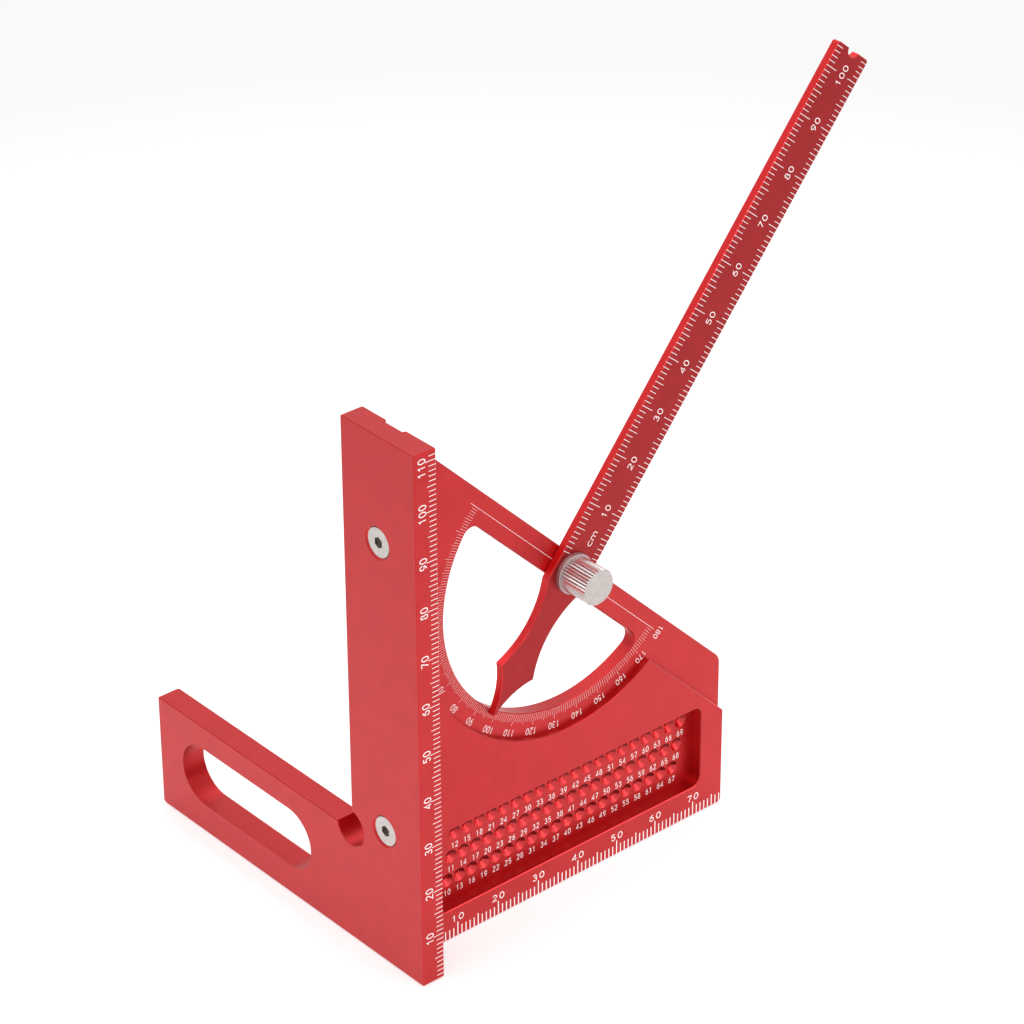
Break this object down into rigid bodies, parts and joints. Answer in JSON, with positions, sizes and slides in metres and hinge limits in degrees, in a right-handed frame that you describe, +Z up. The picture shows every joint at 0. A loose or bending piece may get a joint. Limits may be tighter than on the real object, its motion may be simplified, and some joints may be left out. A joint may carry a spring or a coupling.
{
  "type": "sliding bevel square",
  "caption": "Flat triangular mitre square with a protractor window, swinging ruler arm, thumb screw, scribing holes and an L-shaped fence.",
  "frame": {"origin": "on the flush base of fence and plate, at the fence's inner face and on the middle plane of the plate", "axes": "+Z up along the fence leg, +X along the plate away from the fence, +Y away from the scale side, along the fence foot"},
  "size_m": [0.1145, 0.08, 0.1549],
  "materials": {
    "red_anodised": "bead-blasted, red anodised, satin",
    "nickel_plate": "satin nickel plate",
    "bright_steel": "bright turned"
  },
  "bodies": {
    "stock": {"fence_plate": "red_anodised", "main_plate": "red_anodised", "fence_screws": "bright_steel"},
    "arm": {"bevel_arm": "red_anodised"},
    "clamp": {"clamp_washer": "nickel_plate"},
    "knob": {"thumb_screw": "nickel_plate"}
  },
  "joints": [
    {"name": "arm_swing", "type": "hinge", "parent": "stock", "child": "arm", "pos_m": [0.0379, -0.0019, 0.0686], "axis": [0, -1, 0], "range_deg": [-95.8, 74.2]},
    {"name": "screw_turn", "type": "hinge", "parent": "clamp", "child": "knob", "pos_m": [0.0379, -0.007, 0.0686], "axis": [0, -1, 0], "range_deg": [0, 720.1]},
    {"name": "clamp_lift", "type": "slide", "parent": "stock", "child": "clamp", "axis": [0, -1, 0], "range_m": [0, 0.001]}
  ],
  "couplings": [
    {"joint": "screw_turn", "follows": "clamp_lift", "rad_per_m": 12566}
  ]
}
